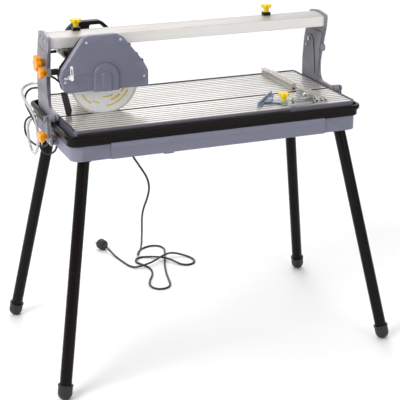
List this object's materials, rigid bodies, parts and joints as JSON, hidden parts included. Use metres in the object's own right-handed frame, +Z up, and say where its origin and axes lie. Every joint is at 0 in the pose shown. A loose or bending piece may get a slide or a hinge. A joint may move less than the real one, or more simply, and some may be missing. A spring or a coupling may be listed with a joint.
{
  "type": "wet tile cutter with overhead rail",
  "caption": "Wet tile cutter on a splayed leg stand: sliding saw head under an overhead rail, grooved table over a water tray, tilting arch, fences and angle stop.",
  "frame": {"origin": "floor point under the middle of the four feet", "axes": "+X along the rail, to the right seen from the operator's side; +Y from the operator towards the back; +Z up"},
  "size_m": [1.0539, 1.0527, 0.9913],
  "materials": {
    "black_enamel": "black powder coat on steel tube, fine orange peel",
    "grey_enamel": "purple-grey powder coat, satin",
    "tray_plastic": "moulded purple-grey plastic, light grain",
    "guard_plastic": "moulded purple-grey plastic, satin, scuffed edges",
    "plate_aluminium": "extruded aluminium, brushed lengthwise",
    "rail_aluminium": "clear-anodised aluminium, drawn lines",
    "cast_aluminium": "die-cast aluminium, fine blasted grain",
    "zinc_steel": "zinc-plated steel",
    "blade_steel": "ground steel blade with sintered rim",
    "chrome": "chrome plate",
    "black_plastic": "black moulded plastic, fine grain",
    "black_rubber": "black rubber",
    "cord_rubber": "black cord sheath",
    "clear_hose": "clear vinyl hose",
    "yellow_plastic": "yellow moulded plastic",
    "amber_plastic": "amber moulded plastic",
    "blue_enamel": "blue-grey coat on aluminium",
    "red_plastic": "red switch rocker"
  },
  "bodies": {
    "base": {"leg_front_left": "black_enamel", "leg_front_right": "black_enamel", "leg_rear_left": "black_enamel", "leg_rear_right": "black_enamel", "rubber_feet": "black_rubber", "underframe": "black_enamel", "water_tray": "tray_plastic", "rim_frame": "black_plastic", "table_frame": "grey_enamel", "front_table_plate": "plate_aluminium", "rear_table_plate": "plate_aluminium", "water_pump": "black_plastic", "bracket_bolts": "zinc_steel", "junction_box": "black_plastic", "cord_gland": "black_rubber", "mains_cord": "cord_rubber", "mains_plug": "black_rubber", "motor_lead": "cord_rubber", "pump_lead": "cord_rubber", "water_hose": "clear_hose", "pivot_bracket_left": "grey_enamel", "pivot_bracket_right": "grey_enamel"},
    "arch": {"post_left": "grey_enamel", "post_right": "grey_enamel", "tilt_levers": "grey_enamel", "rail": "rail_aluminium", "post_screws": "zinc_steel", "rail_knob_bases": "black_plastic", "end_buffers": "black_rubber", "hose_clip": "black_plastic"},
    "tilt_knob_left_body": {"tilt_knob_left": "amber_plastic"},
    "tilt_knob_right_body": {"tilt_knob_right": "amber_plastic"},
    "rail_knob_left_body": {"rail_knob_left": "yellow_plastic"},
    "rail_knob_right_body": {"rail_knob_right": "yellow_plastic"},
    "clamp_knob_body": {"clamp_knob": "amber_plastic"},
    "transport_lock_knob_body": {"transport_lock_knob": "amber_plastic"},
    "carriage": {"trolley": "zinc_steel", "yoke": "cast_aluminium", "motor_housing": "black_plastic", "motor_end_cap": "black_plastic", "handle": "black_plastic", "guard_inner": "black_plastic", "guard_cover": "guard_plastic", "guard_screws": "zinc_steel", "splash_flap": "black_rubber", "water_tap": "chrome", "head_lead": "cord_rubber"},
    "roller_pair_left": {"rollers_left": "black_plastic"},
    "roller_pair_right": {"rollers_right": "black_plastic"},
    "switch_rocker": {"power_switch": "red_plastic"},
    "tap_lever_body": {"tap_lever": "chrome"},
    "blade_set": {"blade": "blade_steel", "spindle": "zinc_steel", "flange_nut": "zinc_steel"},
    "rear_fence_body": {"rear_fence": "plate_aluminium"},
    "front_fence_body": {"front_fence": "plate_aluminium"},
    "angle_stop": {"stop_plate": "zinc_steel"},
    "mitre_bar_body": {"mitre_bar": "blue_enamel"},
    "stop_knob_body": {"stop_knob": "yellow_plastic"},
    "wing_nut_body": {"wing_nut": "chrome"}
  },
  "joints": [
    {"name": "arch_tilt", "type": "hinge", "parent": "base", "child": "arch", "pos_m": [0, -0.04, 0.739], "axis": [1, 0, 0], "range_deg": [0, 45]},
    {"name": "head_slide", "type": "slide", "parent": "arch", "child": "carriage", "axis": [1, 0, 0], "range_m": [0, 0.565]},
    {"name": "left_rollers_turn", "type": "hinge", "parent": "carriage", "child": "roller_pair_left", "pos_m": [-0.33, 0.056, 0.9322], "axis": [0, 1, 0], "range_deg": [-1, 4630]},
    {"name": "right_rollers_turn", "type": "hinge", "parent": "carriage", "child": "roller_pair_right", "pos_m": [-0.246, 0.056, 0.9322], "axis": [0, 1, 0], "range_deg": [-1, 4630]},
    {"name": "blade_spin", "type": "hinge", "parent": "carriage", "child": "blade_set", "pos_m": [-0.288, -0.04, 0.836], "axis": [0, 1, 0], "continuous": true},
    {"name": "tilt_knob_left_turn", "type": "hinge", "parent": "arch", "child": "tilt_knob_left_body", "pos_m": [-0.47, -0.05296, 0.69382], "axis": [1, 0, 0], "range_deg": [0, 180]},
    {"name": "tilt_knob_right_turn", "type": "hinge", "parent": "arch", "child": "tilt_knob_right_body", "pos_m": [0.47, -0.05296, 0.69382], "axis": [1, 0, 0], "range_deg": [0, 180]},
    {"name": "rail_knob_left_turn", "type": "hinge", "parent": "arch", "child": "rail_knob_left_body", "pos_m": [-0.335, 0.066, 0.98], "axis": [0, 0, 1], "range_deg": [0, 180]},
    {"name": "rail_knob_right_turn", "type": "hinge", "parent": "arch", "child": "rail_knob_right_body", "pos_m": [0.258, 0.066, 0.98], "axis": [0, 0, 1], "range_deg": [0, 180]},
    {"name": "clamp_knob_turn", "type": "hinge", "parent": "arch", "child": "clamp_knob_body", "pos_m": [-0.445, 0.056, 0.876], "axis": [1, 0, 0], "range_deg": [0, 180]},
    {"name": "transport_lock_turn", "type": "hinge", "parent": "arch", "child": "transport_lock_knob_body", "pos_m": [-0.445, 0.022, 0.855], "axis": [1, 0, 0], "range_deg": [0, 180]},
    {"name": "power_switch_rock", "type": "hinge", "parent": "carriage", "child": "switch_rocker", "pos_m": [-0.321, 0.137, 0.935], "axis": [1, 0, 0], "range_deg": [0, 16]},
    {"name": "tap_turn", "type": "hinge", "parent": "carriage", "child": "tap_lever_body", "pos_m": [-0.393, -0.083, 0.856], "axis": [0, 1, 0], "range_deg": [0, 90]},
    {"name": "rear_fence_slide", "type": "slide", "parent": "base", "child": "rear_fence_body", "axis": [1, 0, 0], "range_m": [-0.25, 0.06]},
    {"name": "front_fence_slide", "type": "slide", "parent": "base", "child": "front_fence_body", "axis": [1, 0, 0], "range_m": [-0.25, 0.06]},
    {"name": "angle_stop_slide", "type": "slide", "parent": "front_fence_body", "child": "angle_stop", "axis": [0, 1, 0], "range_m": [-0.025, 0.008]},
    {"name": "mitre_swivel", "type": "hinge", "parent": "angle_stop", "child": "mitre_bar_body", "pos_m": [0.219, -0.148, 0.746], "axis": [0, 0, 1], "range_deg": [-40, 40]},
    {"name": "stop_knob_turn", "type": "hinge", "parent": "angle_stop", "child": "stop_knob_body", "pos_m": [0.219, -0.148, 0.76], "axis": [0, 0, 1], "range_deg": [0, 180]},
    {"name": "wing_nut_turn", "type": "hinge", "parent": "angle_stop", "child": "wing_nut_body", "pos_m": [0.298, -0.122, 0.7544], "axis": [1, 0, 0], "range_deg": [0, 180]}
  ],
  "couplings": [
    {"joint": "left_rollers_turn", "follows": "head_slide", "rad_per_m": 142.86},
    {"joint": "right_rollers_turn", "follows": "head_slide", "rad_per_m": 142.86}
  ]
}
